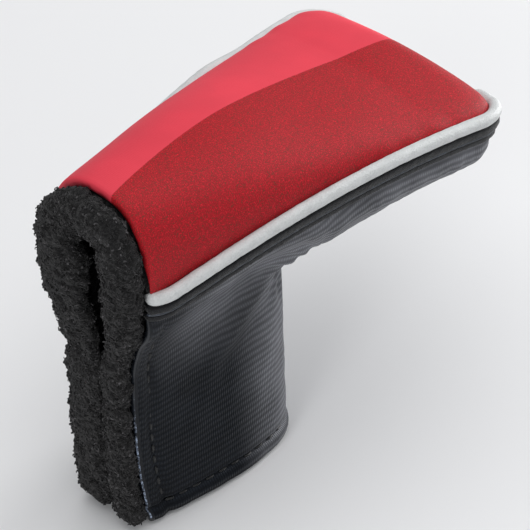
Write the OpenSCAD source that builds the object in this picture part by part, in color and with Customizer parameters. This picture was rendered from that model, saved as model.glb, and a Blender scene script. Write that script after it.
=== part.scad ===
// Blade putter head cover: a padded sleeve with a printed crown, white piping round the crown and two
// dark side panels that close under the toe and run down a neck. Each side of the neck ends in a flap
// that swings open about a diagonal fold, and magnets in the flaps hold them shut.
//
// Frame: +X from the heel mouth to the toe, -Y the front, +Z up. The origin is the middle of the heel
// mouth, level with the ends of the piping. Millimetres.

/* [Crown] */
// Length of the crown from the heel edge to the toe seam
crown_len = 136; // [125:1:150]
// Half width between the seams at the heel
heel_half_w = 19; // [17:0.5:22]
// Half width between the seams at the toe
toe_half_w = 38.5; // [34:0.5:44]
// How early the crown widens, where 1 is a straight taper
flare_power = 0.8; // [0.6:0.05:1.2]
// Radius of the two toe corners, seen from above
toe_corner_r = 12.5; // [8:0.5:15]
// Height of the crown over its seams at the heel
heel_rise = 30; // [26:0.5:34]
// Height of the crown over its seams at the toe
toe_rise = 6; // [4:0.5:10]
// Dip of the toe seam between its corners
toe_sag = 3.5; // [0:0.5:5]
// How early the arch sinks from heel to toe, where 1 is a straight fall
rise_power = 1.25; // [1:0.05:2]
// Height of the middle of the seams over their ends
seam_arch = 7.5; // [2:0.5:12]

/* [Pocket and neck] */
// Depth of the toe pocket below the seams, next to the neck
pocket_depth = 33; // [28:0.5:36]
// Depth of the toe pocket below the seams, near the toe
toe_depth = 28; // [24:0.5:30]
// Length over which the pocket rounds up to the toe seam
toe_round = 15; // [15:0.5:24]
// Distance from the heel edge to the neck's closed side
neck_len = 67; // [60:1:72]
// Level of the neck's hem below the heel ends of the seams
hem_drop = 97; // [88:1:105]
// Half width of the neck at its widest, just under the pocket
neck_half_w = 12.5; // [12:0.5:16]
// Half width of the neck at its widest, at the hem
hem_half_w = 19.5; // [16:0.5:22]
// Half width of the neck between the flaps' edges
flap_half_w = 11.5; // [11:0.5:14]
// Length of the neck's rounded closed side
neck_round = 18; // [14:0.5:22]

/* [Wall] */
// Thickness of the coated fabric skin
skin_t = 1.2; // [0.8:0.1:1.6]
// Thickness of the foam behind the skin
foam_t = 2; // [1.5:0.1:3]
// Thickness of the fleece lining
fleece_t = 4.5; // [3:0.1:5]
// Diameter of the piping
piping_d = 4.2; // [3:0.1:5]
// Height of the welt strip under the piping
welt_h = 2.8; // [2:0.1:3.5]

/* [Flaps] */
// Distance along the hem from the heel edge to the fold
fold_at_hem = 41; // [34:1:46]
// Diameter of a magnet
magnet_d = 14; // [10:1:14]

/* [Hidden] */

// Depths below the outer face at which one layer ends and the next begins
foam_at = skin_t;
fleece_at = skin_t + foam_t;
wall_t = skin_t + foam_t + fleece_t;
// Share of its thickness that the wall keeps where it is sewn into the seam, and how far that reaches
seam_squeeze = 0.12;
squeeze_reach = 16;
// The share it keeps in the inner corner, where the pocket's floor meets the neck, and how far that reaches
corner_squeeze = 0.6;
corner_reach = 14;
// The sides' shape: how far down they take to settle into the neck, how square the neck's closed side
// and the pocket are, and how softly and over what length the pocket runs into the neck
settle_drop = 38;
neck_power = 2.2;
pocket_power = 3.2;
blend_power = 4;
blend_len = 26;
// Level where the neck's own width starts, and the fall of the neck's closed side along X
neck_top = 20;
neck_lean = 2.5;
// The crown's section, from a full arch at the heel to a nearly flat sheet at the toe
heel_power = 2.5;
toe_power = 1.65;
toe_drop = 2.3;
flat_from = 0.8;
// The fold: where it leaves the heel edge, half the slit beside it, and where the flap starts
fold_top = 5.5;
fold_gap = 0.3;
flap_top = 9;
// How far the flap's edge runs forward at the hem, and where that starts
flap_sweep = 4;
flap_sweep_at = 50;
// The fleece rolls round the mouth: half sizes, place of the middle, clear space over each flap, and the
// share of its size that a flap's roll keeps at the hem
rim_half_t = 4.8;
rim_half_x = 3;
rim_at = 5.1;
rim_x = 3.2;
rim_slit = 0.7;
rim_end = 0.5;
// Clear space between sewn pieces, the turned edges' thickness and the thread
touch = 0.05;
layer_gap = 0.1;
piping_skin = 0.8;
edge_t = 1;
edge_w = 1.2;
welt_t = 3.9;
thread_d = 0.7;
thread_in = 5;
tape_half_w = 4;
tape_t = 0.8;
// The magnets: thickness, clear space before them, distance from the edge and levels, then the pouch's
// thickness, width and top
magnet_t = 1.1;
magnet_skin = 0.3;
magnet_in = 9;
magnet_levels = [-44, -76];
pouch_t = 0.25;
pouch_w = 18;
pouch_top = 24;
// How finely the surfaces are divided
long_steps = 20;
corner_steps = 6;
arch_steps = 16;
drop_steps = 12;
hem_steps = 6;
side_steps = 9;
flap_rows = 12;
flap_cols = 5;
middle_rows = 9;
rim_sides = 10;
piping_sides = 8;
crown_evening = 2;
side_evening = 8;
flap_evening = 2;
corner_relaxing = 3;

// ---- Small helpers ----
function clamp01(t) = min(1, max(0, t));
function ease(t) = let (c = clamp01(t)) c * c * (3 - 2 * c);
function unit(v) = v / max(norm(v), 1e-9);
function last(list) = list[len(list) - 1];
function mirrored(p) = [p.x, -p.y, p.z];
function lerp(a, b, t) = a + (b - a) * t;
function power_arc(t, p) = pow(max(0, 1 - pow(t, p)), 1 / p);
function flat(grid) = [for (row = grid) each row];
function reversed(list) = [for (i = [len(list) - 1 : -1 : 0]) list[i]];

// Outward directions of a grid evened out, so that the deeper layers of the wall don't fold over
function evened(out, passes) =
    passes == 0 ? out :
    evened([for (i = [0 : len(out) - 1]) [for (j = [0 : len(out[0]) - 1])
        i == 0 || j == 0 || i == len(out) - 1 || j == len(out[0]) - 1 ? out[i][j] :
        unit(out[i][j] + out[i - 1][j] + out[i + 1][j] + out[i][j - 1] + out[i][j + 1])]], passes - 1);

// ---- The outer shape ----
// Half width between the seams, with the toe corners rounded
function half_w(x) =
    let (e = clamp01((x - crown_len + toe_corner_r) / toe_corner_r))
    heel_half_w + (toe_half_w - heel_half_w) * pow(x / crown_len, flare_power)
    - toe_corner_r + toe_corner_r * sqrt(1 - e * e);

// Level of the seams
function seam_z(x) = let (t = x / crown_len) 4 * seam_arch * t * (1 - t) - toe_drop * t;

// Height of the crown over the seams, which closes down onto the toe seam
function rise(x) =
    let (e = clamp01((x - crown_len + toe_corner_r) / toe_corner_r),
         t = min(1, x / crown_len / flat_from))
    (toe_rise + (heel_rise - toe_rise) * pow(1 - t, rise_power)) * sqrt(max(0, 1 - pow(e, 4)));

// Depth of the sides below the seams
function depth(x) =
    let (e = clamp01((x - crown_len + toe_round) / toe_round))
    lerp(pocket_depth, toe_depth, clamp01((x - neck_len) / (crown_len - neck_len)))
    * sqrt(max(0, 1 - e * e));

// Forward end of the neck at a level, and the neck's half width at its widest
function neck_end(z) = neck_len + neck_lean * clamp01(1 + (z + neck_top) / (hem_drop - neck_top));
function neck_w(z) = lerp(neck_half_w, hem_half_w, clamp01((-z - neck_top) / (hem_drop - neck_top)));
function neck_half(x, z) =
    let (round_at = neck_end(z) - neck_round,
         e = clamp01((x - round_at) / neck_round),
         widest = lerp(flap_half_w, neck_w(z), sin(90 * clamp01(x / round_at))))
    widest * power_arc(e, neck_power);

// Half width of the cover at a place in its side view: the sides settle into the neck near the heel
// and close under the pocket towards the toe
function side_half(x, z) =
    let (drop = seam_z(x) - z,
         t = clamp01(drop / max(depth(x), 1e-6)),
         pocket = half_w(x) * power_arc(t, pocket_power),
         end = neck_end(z),
         neck = x > end ? 0 : neck_half(x, z),
         settled = lerp(half_w(x), neck, ease(drop / settle_drop)),
         joined = pow(pow(pocket, blend_power) + pow(neck * ease(t / 0.7), blend_power), 1 / blend_power))
    lerp(settled, joined, ease((x - end + blend_len) / blend_len));

// The toe seam dips between its corners, so that the crown's padding stands proud of it
function toe_dip(x, a) =
    toe_sag * pow(clamp01((x - crown_len + toe_corner_r) / toe_corner_r), 4) * sqrt(max(0, sin(a)));
function crown_point(x, a) =
    let (p = 2 / lerp(heel_power, toe_power, x / crown_len), c = cos(a))
    [x, -sign(c) * half_w(x) * pow(abs(c), p), seam_z(x) + rise(x) * pow(sin(a), p) - toe_dip(x, a)];

// Stations along a seam, closer together round the toe corner
crown_x = [
    for (i = [0 : long_steps]) i * (crown_len - toe_corner_r) / long_steps,
    for (i = [1 : corner_steps]) crown_len - toe_corner_r + toe_corner_r * sin(90 * i / corner_steps)
];
crown_grid = [for (x = crown_x) [for (j = [0 : arch_steps]) crown_point(x, 180 * j / arch_steps)]];

// The front seam from the heel to the toe corner
seam = [for (row = crown_grid) row[0]];
function seam_normal(path, i) =
    i == len(path) - 1 ? [1, 0, 0] :
    let (t = path[i + 1] - path[max(0, i - 1)]) unit([t.y, -t.x, 0]);

// Outward normal of a grid of points, whose rows run from heel to toe or from top to bottom
function grid_normal(g, i, j) =
    let (along = g[min(len(g) - 1, i + 1)][j] - g[max(0, i - 1)][j],
         across = g[i][min(len(g[0]) - 1, j + 1)] - g[i][max(0, j - 1)])
    unit(cross(along, across));
function level_x(n) = unit([0, n.y, n.z]);
function level_z(n) = unit([n.x, n.y, 0]);

function crown_normal(i, j) =
    i == len(crown_x) - 1 ? [1, 0, 0] :
    j == 0 ? seam_normal(seam, i) :
    j == arch_steps ? mirrored(seam_normal(seam, i)) :
    i == 0 ? level_x(grid_normal(crown_grid, i, j)) : grid_normal(crown_grid, i, j);
crown_out = evened([for (i = [0 : len(crown_x) - 1]) [for (j = [0 : arch_steps]) crown_normal(i, j)]],
                   crown_evening);
crown_squeeze = [for (row = crown_grid) [for (p = row)
    squeeze(min(half_w(p.x) - abs(p.y) + p.z - seam_z(p.x), crown_len - p.x))]];
function squeeze(from_seam) = lerp(seam_squeeze, 1, ease(from_seam / squeeze_reach));

// ---- The front side in its side view, from the seam down to the hem, the neck's end and the keel ----
function fold_x(z) = (-fold_top - z) * fold_at_hem / (hem_drop - fold_top);
keel_corner = seam_z(neck_len) - pocket_depth;
// Stations past the neck
tail_steps = 10;
tail_x0 = neck_len + 3;
side_tail_x = [
    for (i = [0 : tail_steps]) lerp(tail_x0, crown_len - toe_round, i / tail_steps),
    for (i = [1 : corner_steps]) crown_len - toe_round + toe_round * sin(90 * i / corner_steps)
];
// Lower ends of the side's stations: along the hem, up the neck's end and along the pocket's keel
side_low = [
    for (i = [0 : hem_steps])
        let (s = i / hem_steps, x0 = fold_at_hem + fold_gap, x1 = neck_end(-hem_drop))
        [lerp(x0, x1, sin(90 * s)), -hem_drop],
    for (i = [1 : side_steps]) let (z = lerp(-hem_drop, keel_corner - 1, i / side_steps)) [neck_end(z), z],
    for (x = side_tail_x) [x, seam_z(x) - depth(x)]
];
// Places on the seam above every station
neck_stations = hem_steps + side_steps;
seam_over_corner = neck_len - 8;
side_high_x = [
    for (i = [0 : neck_stations]) seam_over_corner * pow(i / neck_stations, 0.9),
    for (i = [0 : len(side_tail_x) - 1])
        let (x = side_tail_x[i], t = clamp01((x - tail_x0) / 20))
        lerp(x - 3 - (1 - t) * 4, x, t)
];
function side_place(i, g) =
    let (top = [side_high_x[i], seam_z(side_high_x[i])])
    i > 0 ? lerp(top, side_low[i], g) :
    let (z = lerp(0, -hem_drop, g)) z > -fold_top ? [0, z] : [fold_x(z) + fold_gap * 2, z];
// A point of the toe seam, by its share of the way from the front corner to the middle
function toe_point(s) =
    let (a = acos(pow(1 - s, toe_power / 2)))
    [crown_len, -half_w(crown_len) * (1 - s), seam_z(crown_len) - toe_dip(crown_len, a)];
function side_point(i, j) =
    let (a = 90 * j / drop_steps,
         bend = pow(sin(a), lerp(1, 2 / pocket_power, ease((i - hem_steps) / side_steps))),
         g = lerp(j / drop_steps, bend, clamp01(i / hem_steps)),
         toe = i == len(side_high_x) - 1,
         place = side_place(i, g),
         keel = j == drop_steps && i >= hem_steps)
    toe ? toe_point(1 - pow(cos(a), 2 / pocket_power)) :
    [place.x, keel ? 0 : -side_half(place.x, place[1]), place[1]];
// The side's width is relaxed round the inner corner
function at_corner(i, j) = abs(i - neck_stations + 0.5) < 4 && j > 2 && j < drop_steps;
function relaxed(g, passes) =
    passes == 0 ? g :
    relaxed([for (i = [0 : len(g) - 1]) [for (j = [0 : drop_steps])
        at_corner(i, j) ? [g[i][j].x, (2 * g[i][j].y + g[i - 1][j].y + g[i + 1][j].y
                                       + g[i][j - 1].y + g[i][j + 1].y) / 6, g[i][j].z] :
        g[i][j]]], passes - 1);
side_grid = relaxed([for (i = [0 : len(side_high_x) - 1]) [for (j = [0 : drop_steps]) side_point(i, j)]],
                    corner_relaxing);
side_seam = [for (row = side_grid) row[0]];

function side_normal(i, j) =
    let (g = side_grid,
         along = g[min(len(g) - 1, i + 1)][j] - g[max(0, i - 1)][j])
    i == len(g) - 1 ? [1, 0, 0] :
    j == 0 ? (i == 0 ? [0, -1, 0] : seam_normal(side_seam, i)) :
    i == 0 ? [0, -1, 0] :
    j == drop_steps && i == hem_steps ? [1, 0, 0] :
    j == drop_steps && i > hem_steps ? unit([along.z, 0, -along.x]) :
    j == drop_steps ? level_z(-grid_normal(g, i, j)) : -grid_normal(g, i, j);
side_out = evened([for (i = [0 : len(side_grid) - 1]) [for (j = [0 : drop_steps]) side_normal(i, j)]],
                  side_evening);
inner_corner = [neck_len - 2, 0, keel_corner - 1.5];
side_squeeze = [for (row = side_grid) [for (p = row)
    let (off = norm([p.x - inner_corner.x, p.z - inner_corner.z]))
    squeeze(seam_z(p.x) - p.z) * lerp(corner_squeeze, 1, ease(off / corner_reach))]];

// ---- The front flap ----
function flap_edge_x(z) = flap_sweep * pow(clamp01((-z - flap_sweep_at) / (hem_drop - flap_sweep_at)), 2);
function flap_z(i) = lerp(-flap_top, -hem_drop, i / flap_rows);
function flap_place(z, s) =
    let (x = lerp(flap_edge_x(z), fold_x(z) - fold_gap, s)) [x, -side_half(x, z), z];
flap_grid = [for (i = [0 : flap_rows]) [for (j = [0 : flap_cols]) flap_place(flap_z(i), j / flap_cols)]];
function flap_normal(i, j) =
    i == 0 || j == flap_cols ? [0, -1, 0] :
    let (n = grid_normal(flap_grid, i, j), m = j == 0 ? level_x(n) : n)
    i == flap_rows ? level_z(m) : m;
flap_out = evened([for (i = [0 : flap_rows]) [for (j = [0 : flap_cols]) flap_normal(i, j)]], flap_evening);
flap_squeeze = [for (i = [0 : flap_rows]) [for (j = [0 : flap_cols]) squeeze(-flap_z(i))]];

// ---- Solids from grids and rings ----
function sunk(grid, out, share, d) =
    [for (i = [0 : len(grid) - 1]) [for (j = [0 : len(grid[0]) - 1])
        let (p = grid[i][j] - out[i][j] * share[i][j] * d, y = grid[i][j].y)
        [p.x, y > 0.01 ? max(0, p.y) : y < -0.01 ? min(0, p.y) : 0, p.z]]];

// A closed sheet between two depths below a grid of points
module layer(grid, out, share, from, to, flip = false) {
    rows = len(grid);
    cols = len(grid[0]);
    n = rows * cols;
    function at(i, j) = i * cols + j;
    points = concat(flat(sunk(grid, out, share, from)), flat(sunk(grid, out, share, to)));
    rim = concat([for (j = [0 : cols - 2]) at(0, j)], [for (i = [0 : rows - 2]) at(i, cols - 1)],
                 [for (j = [cols - 1 : -1 : 1]) at(rows - 1, j)], [for (i = [rows - 1 : -1 : 1]) at(i, 0)]);
    quads = [
        for (k = [0 : len(rim) - 1]) let (a = rim[k], b = rim[(k + 1) % len(rim)]) [a, b, b + n, a + n],
        for (i = [0 : rows - 2]) for (j = [0 : cols - 2])
            [n + at(i + 1, j + 1), n + at(i + 1, j), n + at(i, j), n + at(i, j + 1)],
        for (i = [0 : rows - 2]) for (j = [0 : cols - 2])
            [at(i, j), at(i + 1, j), at(i + 1, j + 1), at(i, j + 1)]
    ];
    faces = [for (q = quads) each [[q[0], q[1], q[2]], [q[0], q[2], q[3]]]];
    polyhedron(points, flip ? [for (f = faces) reversed(f)] : faces);
}

// A closed solid through a list of rings
module sweep(rings) {
    sides = len(rings[0]);
    n = len(rings);
    skin = [for (i = [0 : n - 2]) for (k = [0 : sides - 1])
        let (a = i * sides + k, b = i * sides + (k + 1) % sides)
        each [[a, b, b + sides], [a, b + sides, a + sides]]];
    caps = [reversed([for (k = [0 : sides - 1]) k]), [for (k = [0 : sides - 1]) (n - 1) * sides + k]];
    polyhedron(flat(rings), concat(skin, caps));
}

// A pipe between two lists of rings that have the same number of corners
module pipe(outer, inner) {
    sides = len(outer[0]);
    n = len(outer);
    m = n * sides;
    walls = [for (i = [0 : n - 2]) for (k = [0 : sides - 1])
        let (a = i * sides + k, b = i * sides + (k + 1) % sides)
        each [[a, b, b + sides], [a, b + sides, a + sides],
              [m + a, m + b + sides, m + b], [m + a, m + a + sides, m + b + sides]]];
    ends = [for (k = [0 : sides - 1])
        let (l = (k + 1) % sides, e = (n - 1) * sides)
        each [[k, m + k, m + l], [k, m + l, l],
              [e + k, e + l, m + e + l], [e + k, m + e + l, m + e + k]]];
    polyhedron(concat(flat(outer), flat(inner)), concat(walls, ends));
}

// A ring about a centre, in the plane of two directions
function ring(centre, u, v, ru, rv, sides) =
    [for (k = [0 : sides - 1]) let (a = 360 * k / sides) centre + u * ru * cos(a) + v * rv * sin(a)];
function block_ring(centre, u, v, u0, u1, v0, v1) =
    [for (c = [[u0, v0], [u1, v0], [u1, v1], [u0, v1]]) centre + u * c[0] + v * c[1]];

// ---- Seam route, all the way round from the front heel to the back heel ----
toe_seam = last(crown_grid);
front_n = [for (i = [0 : len(seam) - 1]) seam_normal(seam, i)];
route = concat(seam, [for (j = [1 : arch_steps - 1]) toe_seam[j]], reversed([for (p = seam) mirrored(p)]));
route_n = concat(front_n, [for (j = [1 : arch_steps - 1]) [1, 0, 0]],
                 reversed([for (v = front_n) mirrored(v)]));
up = [0, 0, 1];
piping_r = piping_d / 2;
function piping_rings(r) = [for (i = [0 : len(route) - 1])
    ring(route[i] + route_n[i] * (piping_r + touch), route_n[i], up, r, r, piping_sides)];

// ---- Shell ----
module crown_panel() {
    color("#DE4B5A") layer(crown_grid, crown_out, crown_squeeze, 0, foam_at, true);
}
module crown_foam() {
    color("#D8D4C8")
        layer(crown_grid, crown_out, crown_squeeze, foam_at + layer_gap, fleece_at - layer_gap, true);
}
module crown_lining() {
    color("#2E2E30") layer(crown_grid, crown_out, crown_squeeze, fleece_at, wall_t, true);
}
module piping_cover() {
    color("#E1E4E4") pipe(piping_rings(piping_r), piping_rings(piping_r - piping_skin));
}
module piping_cord() {
    color("#F2F0E8") sweep(piping_rings(piping_r - piping_skin - touch));
}
module welt_strip() {
    color("#282A30") sweep([for (i = [0 : len(route) - 1])
        block_ring(route[i], route_n[i], up, touch, touch + welt_t, -piping_r - touch - welt_h,
                   -piping_r - touch)]);
}
module side_layer(from, to) {
    layer(side_grid, side_out, side_squeeze, from, to);
}
module front_panel() {
    color("#3A424C") side_layer(0, foam_at);
}
module front_foam() {
    color("#D8D4C8") side_layer(foam_at + layer_gap, fleece_at - layer_gap);
}
module front_lining() {
    color("#2E2E30") side_layer(fleece_at, wall_t);
}
module back_panel() {
    mirror([0, 1, 0]) front_panel();
}
module back_foam() {
    mirror([0, 1, 0]) front_foam();
}
module back_lining() {
    mirror([0, 1, 0]) front_lining();
}

// The fleece roll over the mouth, from just above one flap to just above the other
rim_leg = [for (z = [-flap_top + rim_slit, -flap_top / 2]) [0, -side_half(0, z), z]];
rim_route = concat(rim_leg, crown_grid[0], reversed([for (p = rim_leg) mirrored(p)]));
rim_out = concat([for (p = rim_leg) [0, -1, 0]], crown_out[0], [for (p = rim_leg) [0, 1, 0]]);
function rim_ring(p, n, s = 1) =
    ring(p - n * rim_at - [rim_x * s, 0, 0], n, [1, 0, 0], rim_half_t * s, rim_half_x * s, rim_sides);
module heel_rim() {
    color("#3A3A3C") sweep([for (i = [len(rim_route) - 1 : -1 : 0]) rim_ring(rim_route[i], rim_out[i])]);
}

// A strip inside the pocket that covers the seam between the two linings
module pocket_seam_tape() {
    first = neck_stations + 2;
    stop = neck_stations + tail_steps;
    color("#1E1E20") sweep([for (i = [first : stop])
        let (p = side_grid[i][drop_steps], n = side_out[i][drop_steps])
        block_ring(p, -n, [0, 1, 0], wall_t + touch * 4, wall_t + tape_t, -tape_half_w, tape_half_w)]);
}

// The skin turned under along the hem, from one fold round the neck's end to the other
hem_points = [for (i = [0 : hem_steps]) side_grid[i][drop_steps]];
hem_out = [for (i = [0 : hem_steps]) side_out[i][drop_steps]];
hem_route = concat(hem_points, reversed([for (i = [0 : hem_steps - 1]) mirrored(hem_points[i])]));
hem_route_n = concat(hem_out, reversed([for (i = [0 : hem_steps - 1]) mirrored(hem_out[i])]));
module hem_edge() {
    color("#2A3038") sweep([for (i = [0 : len(hem_route) - 1])
        block_ring(hem_route[i], hem_route_n[i], up, -fleece_at, 0, -edge_t, 0)]);
}
module hem_thread() {
    z = -hem_drop + thread_in;
    xs = [for (i = [0 : hem_steps + 3]) let (s = sin(90 * i / (hem_steps + 3)))
        lerp(fold_x(z) + 2, neck_end(z), s)];
    line = [for (x = xs) [x, x > neck_end(z) - 0.001 ? 0 : -side_half(x, z), z]];
    whole = concat(line, reversed([for (i = [0 : len(line) - 2]) mirrored(line[i])]));
    n = len(whole);
    color("#20262E") sweep([for (i = [0 : n - 1])
        let (t = whole[min(n - 1, i + 1)] - whole[max(0, i - 1)], out = unit([t.y, -t.x, 0]))
        ring(whole[i] + out * (thread_d / 2 + touch), out, up, thread_d / 2, thread_d / 2, 4)]);
}

// ---- Front flap, and the back flap as its mirror image ----
module flap_layer(from, to) {
    layer(flap_grid, flap_out, flap_squeeze, from, to, true);
}
module front_flap_panel() {
    color("#3A424C") flap_layer(0, foam_at);
}
module front_flap_lining() {
    color("#2E2E30") flap_layer(fleece_at, wall_t);
}
// The part of the flap's middle layer below a level, from one distance off its edge to another
module flap_middle(top, near, far, from, to) {
    zs = [for (i = [0 : middle_rows]) lerp(top, -hem_drop, i / middle_rows)];
    grid = [for (z = zs) [for (j = [0 : flap_cols])
        let (span = fold_x(z) - fold_gap - flap_edge_x(z),
             x = flap_edge_x(z) + lerp(near, min(far, span), j / flap_cols))
        [x, -side_half(x, z), z]]];
    out = [for (i = [0 : middle_rows]) [for (j = [0 : flap_cols])
        let (n = grid_normal(grid, i, j)) j == flap_cols ? [0, -1, 0] : level_z(j == 0 ? level_x(n) : n)]];
    share = [for (z = zs) [for (j = [0 : flap_cols]) squeeze(-z)]];
    layer(grid, out, share, from, to, true);
}
// Level below which the flap is wide enough to hold foam beside the pouch
foam_top = -fold_top - (pouch_w + 1 + fold_gap) * (hem_drop - fold_top) / fold_at_hem;
module front_flap_foam() {
    color("#D8D4C8")
        flap_middle(foam_top, pouch_w + layer_gap, fold_at_hem, foam_at + layer_gap, fleece_at - layer_gap);
}
module front_flap_pouch() {
    color("#4A4A4C")
        flap_middle(-pouch_top, 0, pouch_w, fleece_at - pouch_t - layer_gap, fleece_at - layer_gap);
}
module front_flap_magnets() {
    for (z = magnet_levels) {
        x = flap_edge_x(z) + magnet_in;
        dx = side_half(x + 1, z) - side_half(x - 1, z);
        color("#B8BCC0") translate([x, -side_half(x, z), z]) rotate([0, 0, -atan(dx / 2)])
            rotate([-90, 0, 0]) translate([0, 0, foam_at + magnet_skin])
            cylinder(d = magnet_d, h = magnet_t, $fn = 48);
    }
}
module front_flap_rim() {
    rows = [for (i = [0 : flap_rows]) flap_grid[i][0]];
    color("#3A3A3C") sweep([for (i = [0 : flap_rows])
        rim_ring(rows[i], [0, -1, 0], i == flap_rows ? rim_end : 1)]);
}
module front_flap_edge() {
    down = [for (i = [0 : flap_rows]) flap_grid[i][0]];
    color("#2A3038") {
        sweep([for (p = down) block_ring(p, [0, -1, 0], [1, 0, 0], -edge_w, 0, -edge_t, 0)]);
        sweep([for (j = [0 : flap_cols]) block_ring(flap_grid[flap_rows][j], flap_out[flap_rows][j], up,
                                                     -fleece_at, 0, -edge_t, 0)]);
    }
}
module front_flap_thread() {
    low = -hem_drop + thread_in;
    down = [for (i = [3 : flap_rows - 1]) let (z = lerp(-flap_top, low, i / (flap_rows - 1)))
        [flap_edge_x(z) + thread_in, z]];
    along = [for (i = [1 : 4]) [lerp(last(down)[0], fold_x(low) - 2, i / 4), low]];
    line = [for (p = concat(down, along)) [p[0], -side_half(p[0], p[1]), p[1]]];
    n = len(line);
    color("#20262E") sweep([for (i = [0 : n - 1])
        let (t = unit(line[min(n - 1, i + 1)] - line[max(0, i - 1)]),
             out = [0, -1, 0],
             side = unit(cross(t, out)))
        ring(line[i] + out * (thread_d / 2 + touch * 2), side, out, thread_d / 2, thread_d / 2, 4)]);
}
module back_flap_panel() {
    mirror([0, 1, 0]) front_flap_panel();
}
module back_flap_foam() {
    mirror([0, 1, 0]) front_flap_foam();
}
module back_flap_lining() {
    mirror([0, 1, 0]) front_flap_lining();
}
module back_flap_rim() {
    mirror([0, 1, 0]) front_flap_rim();
}
module back_flap_edge() {
    mirror([0, 1, 0]) front_flap_edge();
}
module back_flap_thread() {
    mirror([0, 1, 0]) front_flap_thread();
}
module back_flap_pouch() {
    mirror([0, 1, 0]) front_flap_pouch();
}
module back_flap_magnets() {
    mirror([0, 1, 0]) front_flap_magnets();
}

crown_panel();
crown_foam();
crown_lining();
piping_cover();
piping_cord();
welt_strip();
front_panel();
front_foam();
front_lining();
back_panel();
back_foam();
back_lining();
heel_rim();
pocket_seam_tape();
hem_edge();
hem_thread();
front_flap_panel();
front_flap_foam();
front_flap_lining();
front_flap_rim();
front_flap_edge();
front_flap_thread();
front_flap_pouch();
front_flap_magnets();
back_flap_panel();
back_flap_foam();
back_flap_lining();
back_flap_rim();
back_flap_edge();
back_flap_thread();
back_flap_pouch();
back_flap_magnets();
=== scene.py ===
"""Looks of a blade putter head cover, built round its packed design model."""

import math

import bmesh
import bpy
import numpy as np
from mathutils import Matrix, Vector, noise


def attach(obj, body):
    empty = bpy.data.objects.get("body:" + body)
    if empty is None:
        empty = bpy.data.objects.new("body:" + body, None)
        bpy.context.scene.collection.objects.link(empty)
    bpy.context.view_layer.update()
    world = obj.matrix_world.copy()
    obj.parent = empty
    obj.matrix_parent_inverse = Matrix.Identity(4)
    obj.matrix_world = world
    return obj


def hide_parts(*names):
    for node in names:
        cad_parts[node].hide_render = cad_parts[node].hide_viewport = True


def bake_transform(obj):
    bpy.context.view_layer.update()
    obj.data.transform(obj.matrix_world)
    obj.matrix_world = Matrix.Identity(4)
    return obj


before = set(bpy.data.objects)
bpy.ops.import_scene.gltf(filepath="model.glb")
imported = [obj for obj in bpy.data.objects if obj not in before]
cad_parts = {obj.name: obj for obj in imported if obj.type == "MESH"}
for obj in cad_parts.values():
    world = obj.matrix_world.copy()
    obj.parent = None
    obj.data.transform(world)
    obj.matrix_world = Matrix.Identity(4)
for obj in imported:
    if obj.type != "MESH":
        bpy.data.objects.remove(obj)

bl_info = {
    "name": "Putter head cover",
    "version": (1, 0, 0),
    "blender": (4, 5, 0),
    "location": "View3D > Sidebar > Head cover",
    "description": "Sews a padded putter head cover round its design model",
    "category": "Object",
}

MM = 0.001

# ---- The cover's shape, in millimetres: +X to the toe, -Y the front, +Z up ----
CROWN_LEN = 136.0
HEEL_HALF_W = 19.0
TOE_HALF_W = 38.5
FLARE_POWER = 0.8
TOE_CORNER_R = 12.5
HEEL_RISE = 30.0
TOE_RISE = 6.0
TOE_SAG = 3.5
RISE_POWER = 1.25
SEAM_ARCH = 7.5
TOE_DROP = 2.3
HEEL_POWER = 2.5
TOE_POWER = 1.65
FLAT_FROM = 0.8
POCKET_DEPTH = 33.0
TOE_DEPTH = 28.0
TOE_ROUND = 15.0
NECK_LEN = 67.0
NECK_LEAN = 2.5
NECK_TOP = 20.0
HEM_DROP = 97.0
NECK_HALF_W = 12.5
HEM_HALF_W = 19.5
FLAP_HALF_W = 11.5
NECK_ROUND = 18.0
SETTLE_DROP = 38.0
NECK_POWER = 2.2
POCKET_POWER = 3.2
BLEND_POWER = 4.0
BLEND_LEN = 26.0
FLAP_SWEEP = 4.0
FLAP_SWEEP_AT = 50.0
FLEECE_AT = 3.2
WALL_T = 7.7
SEAM_SQUEEZE = 0.12
SQUEEZE_REACH = 16.0
CORNER_SQUEEZE = 0.6
CORNER_REACH = 14.0
# Stations of a side: along the hem, up the neck's closed side, along the pocket and round the toe
HEM_STATIONS = 6
NECK_STATIONS = 15
TAIL_STATIONS = 10
TOE_STATIONS = 6
ALL_STATIONS = NECK_STATIONS + TAIL_STATIONS + TOE_STATIONS + 1
SEAM_OVER_CORNER = NECK_LEN - 8
TAIL_X0 = NECK_LEN + 3


def clamp01(t):
    return min(1.0, max(0.0, t))


def ease(t):
    t = clamp01(t)
    return t * t * (3 - 2 * t)


def lerp(a, b, t):
    return a + (b - a) * t


def hump(t, at, reach):
    """A smooth hump of height 1 about a place."""
    return math.exp(-(((t - at) / reach) ** 2))


def folds(a, b, a_size, b_size, layer):
    """Soft random folds, so long one way and so wide the other, from -1 to 1."""
    return noise.noise(Vector((a / a_size, b / b_size, layer)))


def power_arc(t, p):
    return max(0.0, 1 - t**p) ** (1 / p)


def toe_share(x, r):
    return clamp01((x - CROWN_LEN + r) / r)


def half_w(x):
    e = toe_share(x, TOE_CORNER_R)
    straight = HEEL_HALF_W + (TOE_HALF_W - HEEL_HALF_W) * (x / CROWN_LEN) ** FLARE_POWER
    return straight - TOE_CORNER_R + TOE_CORNER_R * math.sqrt(1 - e * e)


def seam_z(x):
    t = x / CROWN_LEN
    return 4 * SEAM_ARCH * t * (1 - t) - TOE_DROP * t


def rise(x):
    e = toe_share(x, TOE_CORNER_R)
    t = min(1.0, x / CROWN_LEN / FLAT_FROM)
    height = TOE_RISE + (HEEL_RISE - TOE_RISE) * (1 - t) ** RISE_POWER
    return height * math.sqrt(max(0.0, 1 - e**4))


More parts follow.
